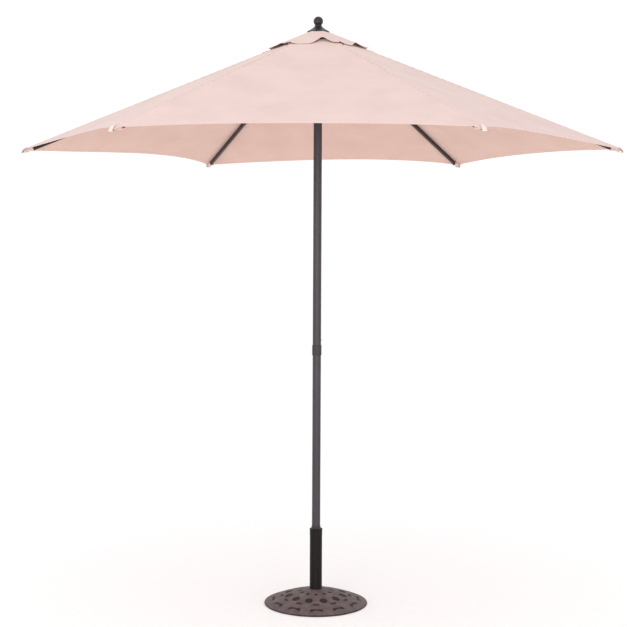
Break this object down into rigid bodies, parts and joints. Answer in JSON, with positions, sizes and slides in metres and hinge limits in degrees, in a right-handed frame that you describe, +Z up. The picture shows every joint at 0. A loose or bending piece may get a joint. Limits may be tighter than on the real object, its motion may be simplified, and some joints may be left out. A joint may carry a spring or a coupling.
{
  "type": "patio umbrella with base",
  "caption": "Push-up patio umbrella: hexagonal vented cloth canopy on folding ribs and struts, two-part pole with ball finial, and a round cast base with a tube.",
  "frame": {"origin": "centre of the base on the floor, under the pole's axis", "axes": "+Z up along the pole, +X along rib 1, +Y to the back, where the clamp knob is"},
  "size_m": [2.6994, 2.3382, 2.648],
  "materials": {
    "cast_stone": "matt cast resin and stone mix, moulded, brown-grey",
    "tube_paint": "satin dark brown paint",
    "pole_paint": "satin charcoal powder coat",
    "rib_paint": "satin dark brown powder coat",
    "finial_paint": "satin dark grey moulded plastic",
    "black_plastic": "matt black moulded plastic",
    "zinc": "zinc-plated steel",
    "spring_steel": "spring steel",
    "rubber": "matt black rubber",
    "canopy_cloth": "plain-weave polyester, pale blush pink, slightly translucent"
  },
  "bodies": {
    "base": {"base_weight": "cast_stone", "base_tube": "tube_paint", "tube_rim": "tube_paint", "tube_collar": "tube_paint", "base_screws": "zinc", "base_feet": "rubber"},
    "clamp_screw": {"clamp_screw": "zinc"},
    "clamp_knob": {"clamp_knob": "black_plastic"},
    "pole_sleeve": {"pole_sleeve": "black_plastic"},
    "pole": {"lower_pole": "pole_paint", "pole_end_plug": "black_plastic", "joint_collar": "black_plastic", "joint_spigot": "zinc", "button_spring": "spring_steel", "upper_pole": "pole_paint", "crown_hub": "black_plastic", "crown_pins": "zinc", "top_plug": "black_plastic", "finial": "finial_paint", "catch_spring": "spring_steel", "vent_cap": "canopy_cloth"},
    "joint_button": {"joint_button": "zinc"},
    "runner": {"runner": "black_plastic", "runner_pins": "zinc"},
    "rib_1": {"rib_1": "rib_paint", "rib_tip_1": "black_plastic", "strut_bracket_1": "rib_paint"},
    "strut_1": {"strut_1": "rib_paint"},
    "canopy_1a": {"canopy_1a": "canopy_cloth"},
    "canopy_1b": {"canopy_1b": "canopy_cloth"},
    "rib_2": {"rib_2": "rib_paint", "rib_tip_2": "black_plastic", "strut_bracket_2": "rib_paint"},
    "strut_2": {"strut_2": "rib_paint"},
    "canopy_2a": {"canopy_2a": "canopy_cloth"},
    "canopy_2b": {"canopy_2b": "canopy_cloth"},
    "rib_3": {"rib_3": "rib_paint", "rib_tip_3": "black_plastic", "strut_bracket_3": "rib_paint"},
    "strut_3": {"strut_3": "rib_paint"},
    "canopy_3a": {"canopy_3a": "canopy_cloth"},
    "canopy_3b": {"canopy_3b": "canopy_cloth"},
    "rib_4": {"rib_4": "rib_paint", "rib_tip_4": "black_plastic", "strut_bracket_4": "rib_paint"},
    "strut_4": {"strut_4": "rib_paint"},
    "canopy_4a": {"canopy_4a": "canopy_cloth"},
    "canopy_4b": {"canopy_4b": "canopy_cloth"},
    "rib_5": {"rib_5": "rib_paint", "rib_tip_5": "black_plastic", "strut_bracket_5": "rib_paint"},
    "strut_5": {"strut_5": "rib_paint"},
    "canopy_5a": {"canopy_5a": "canopy_cloth"},
    "canopy_5b": {"canopy_5b": "canopy_cloth"},
    "rib_6": {"rib_6": "rib_paint", "rib_tip_6": "black_plastic", "strut_bracket_6": "rib_paint"},
    "strut_6": {"strut_6": "rib_paint"},
    "canopy_6a": {"canopy_6a": "canopy_cloth"},
    "canopy_6b": {"canopy_6b": "canopy_cloth"}
  },
  "joints": [
    {"name": "sleeve_swivel", "type": "hinge", "parent": "base", "child": "pole_sleeve", "pos_m": [0, 0, 0.2], "axis": [0, 0, 1], "continuous": true},
    {"name": "pole_lift", "type": "slide", "parent": "pole_sleeve", "child": "pole", "axis": [0, 0, 1], "range_m": [0, 0.28]},
    {"name": "clamp_screw_feed", "type": "slide", "parent": "base", "child": "clamp_screw", "axis": [0, 1, 0], "range_m": [0, 0.00375]},
    {"name": "clamp_turn", "type": "hinge", "parent": "clamp_screw", "child": "clamp_knob", "pos_m": [0, 0.05, 0.23], "axis": [0, -1, 0], "range_deg": [0, 1080]},
    {"name": "joint_button_press", "type": "slide", "parent": "pole", "child": "joint_button", "axis": [-1, 0, 0], "range_m": [0, 0.0048], "stiffness_N_per_m": 500, "springref_m": -0.002, "deforming": ["button_spring"]},
    {"name": "canopy_fold", "type": "hinge", "parent": "pole", "child": "rib_1", "pos_m": [0.036, 0, 2.556], "axis": [0, 1, 0], "range_deg": [0, 66], "deforming": ["canopy_1a", "canopy_1b", "canopy_2a", "canopy_2b", "canopy_3a", "canopy_3b", "canopy_4a", "canopy_4b", "canopy_5a", "canopy_5b", "canopy_6a", "canopy_6b", "vent_cap", "catch_spring"]},
    {"name": "strut_1_hinge", "type": "hinge", "parent": "rib_1", "child": "strut_1", "pos_m": [0.42929, 0, 2.381], "axis": [0, 1, 0], "range_deg": [-132, 0]},
    {"name": "runner_travel", "type": "hinge", "parent": "strut_1", "child": "runner", "pos_m": [0.036, 0, 2.206], "axis": [0, 1, 0], "range_deg": [0, 66]},
    {"name": "rib_2_hinge", "type": "hinge", "parent": "pole", "child": "rib_2", "pos_m": [0.018, 0.03118, 2.556], "axis": [-0.866, 0.5, 0], "range_deg": [0, 66]},
    {"name": "strut_2_hinge", "type": "hinge", "parent": "rib_2", "child": "strut_2", "pos_m": [0.21464, 0.37177, 2.381], "axis": [-0.866, 0.5, 0], "range_deg": [-132, 0]},
    {"name": "rib_3_hinge", "type": "hinge", "parent": "pole", "child": "rib_3", "pos_m": [-0.018, 0.03118, 2.556], "axis": [-0.866, -0.5, 0], "range_deg": [0, 66]},
    {"name": "strut_3_hinge", "type": "hinge", "parent": "rib_3", "child": "strut_3", "pos_m": [-0.21464, 0.37177, 2.381], "axis": [-0.866, -0.5, 0], "range_deg": [-132, 0]},
    {"name": "rib_4_hinge", "type": "hinge", "parent": "pole", "child": "rib_4", "pos_m": [-0.036, 0, 2.556], "axis": [0, -1, 0], "range_deg": [0, 66]},
    {"name": "strut_4_hinge", "type": "hinge", "parent": "rib_4", "child": "strut_4", "pos_m": [-0.42929, 0, 2.381], "axis": [0, -1, 0], "range_deg": [-132, 0]},
    {"name": "rib_5_hinge", "type": "hinge", "parent": "pole", "child": "rib_5", "pos_m": [-0.018, -0.03118, 2.556], "axis": [0.866, -0.5, 0], "range_deg": [0, 66]},
    {"name": "strut_5_hinge", "type": "hinge", "parent": "rib_5", "child": "strut_5", "pos_m": [-0.21464, -0.37177, 2.381], "axis": [0.866, -0.5, 0], "range_deg": [-132, 0]},
    {"name": "rib_6_hinge", "type": "hinge", "parent": "pole", "child": "rib_6", "pos_m": [0.018, -0.03118, 2.556], "axis": [0.866, 0.5, 0], "range_deg": [0, 66]},
    {"name": "strut_6_hinge", "type": "hinge", "parent": "rib_6", "child": "strut_6", "pos_m": [0.21464, -0.37177, 2.381], "axis": [0.866, 0.5, 0], "range_deg": [-132, 0]},
    {"name": "gore_1a_fold", "type": "hinge", "parent": "rib_1", "child": "canopy_1a", "pos_m": [0.01218, -0.00378, 2.54053], "axis": [-0.7582, -0.4273, -0.4924], "range_deg": [0, 31.61]},
    {"name": "gore_1b_fold", "type": "hinge", "parent": "rib_2", "child": "canopy_1b", "pos_m": [0.00281, 0.01244, 2.54053], "axis": [0.7492, 0.443, 0.4924], "range_deg": [0, 31.61]},
    {"name": "gore_2a_fold", "type": "hinge", "parent": "rib_2", "child": "canopy_2a", "pos_m": [0.00936, 0.00866, 2.54053], "axis": [-0.009, -0.8703, -0.4924], "range_deg": [0, 31.61]},
    {"name": "gore_2b_fold", "type": "hinge", "parent": "rib_3", "child": "canopy_2b", "pos_m": [-0.00936, 0.00866, 2.54053], "axis": [-0.009, 0.8703, 0.4924], "range_deg": [0, 31.61]},
    {"name": "gore_3a_fold", "type": "hinge", "parent": "rib_3", "child": "canopy_3a", "pos_m": [-0.00281, 0.01244, 2.54053], "axis": [0.7492, -0.443, -0.4924], "range_deg": [0, 31.61]},
    {"name": "gore_3b_fold", "type": "hinge", "parent": "rib_4", "child": "canopy_3b", "pos_m": [-0.01218, -0.00378, 2.54053], "axis": [-0.7582, 0.4273, 0.4924], "range_deg": [0, 31.61]},
    {"name": "gore_4a_fold", "type": "hinge", "parent": "rib_4", "child": "canopy_4a", "pos_m": [-0.01218, 0.00378, 2.54053], "axis": [0.7582, 0.4273, -0.4924], "range_deg": [0, 31.61]},
    {"name": "gore_4b_fold", "type": "hinge", "parent": "rib_5", "child": "canopy_4b", "pos_m": [-0.00281, -0.01244, 2.54053], "axis": [-0.7492, -0.443, 0.4924], "range_deg": [0, 31.61]},
    {"name": "gore_5a_fold", "type": "hinge", "parent": "rib_5", "child": "canopy_5a", "pos_m": [-0.00936, -0.00866, 2.54053], "axis": [0.009, 0.8703, -0.4924], "range_deg": [0, 31.61]},
    {"name": "gore_5b_fold", "type": "hinge", "parent": "rib_6", "child": "canopy_5b", "pos_m": [0.00936, -0.00866, 2.54053], "axis": [0.009, -0.8703, 0.4924], "range_deg": [0, 31.61]},
    {"name": "gore_6a_fold", "type": "hinge", "parent": "rib_6", "child": "canopy_6a", "pos_m": [0.00281, -0.01244, 2.54053], "axis": [-0.7492, 0.443, -0.4924], "range_deg": [0, 31.61]},
    {"name": "gore_6b_fold", "type": "hinge", "parent": "rib_1", "child": "canopy_6b", "pos_m": [0.01218, 0.00378, 2.54053], "axis": [0.7582, -0.4273, 0.4924], "range_deg": [0, 31.61]}
  ],
  "couplings": [
    {"joint": "clamp_screw_feed", "follows": "clamp_turn", "m_per_rad": 0.00019894},
    {"joint": "strut_1_hinge", "follows": "canopy_fold", "ratio": -2},
    {"joint": "runner_travel", "follows": "canopy_fold", "ratio": 1},
    {"joint": "rib_2_hinge", "follows": "canopy_fold", "ratio": 1},
    {"joint": "strut_2_hinge", "follows": "canopy_fold", "ratio": -2},
    {"joint": "rib_3_hinge", "follows": "canopy_fold", "ratio": 1},
    {"joint": "strut_3_hinge", "follows": "canopy_fold", "ratio": -2},
    {"joint": "rib_4_hinge", "follows": "canopy_fold", "ratio": 1},
    {"joint": "strut_4_hinge", "follows": "canopy_fold", "ratio": -2},
    {"joint": "rib_5_hinge", "follows": "canopy_fold", "ratio": 1},
    {"joint": "strut_5_hinge", "follows": "canopy_fold", "ratio": -2},
    {"joint": "rib_6_hinge", "follows": "canopy_fold", "ratio": 1},
    {"joint": "strut_6_hinge", "follows": "canopy_fold", "ratio": -2},
    {"joint": "gore_1a_fold", "follows": "canopy_fold", "ratio": 0.47888},
    {"joint": "gore_1b_fold", "follows": "canopy_fold", "ratio": 0.47888},
    {"joint": "gore_2a_fold", "follows": "canopy_fold", "ratio": 0.47888},
    {"joint": "gore_2b_fold", "follows": "canopy_fold", "ratio": 0.47888},
    {"joint": "gore_3a_fold", "follows": "canopy_fold", "ratio": 0.47888},
    {"joint": "gore_3b_fold", "follows": "canopy_fold", "ratio": 0.47888},
    {"joint": "gore_4a_fold", "follows": "canopy_fold", "ratio": 0.47888},
    {"joint": "gore_4b_fold", "follows": "canopy_fold", "ratio": 0.47888},
    {"joint": "gore_5a_fold", "follows": "canopy_fold", "ratio": 0.47888},
    {"joint": "gore_5b_fold", "follows": "canopy_fold", "ratio": 0.47888},
    {"joint": "gore_6a_fold", "follows": "canopy_fold", "ratio": 0.47888},
    {"joint": "gore_6b_fold", "follows": "canopy_fold", "ratio": 0.47888}
  ]
}
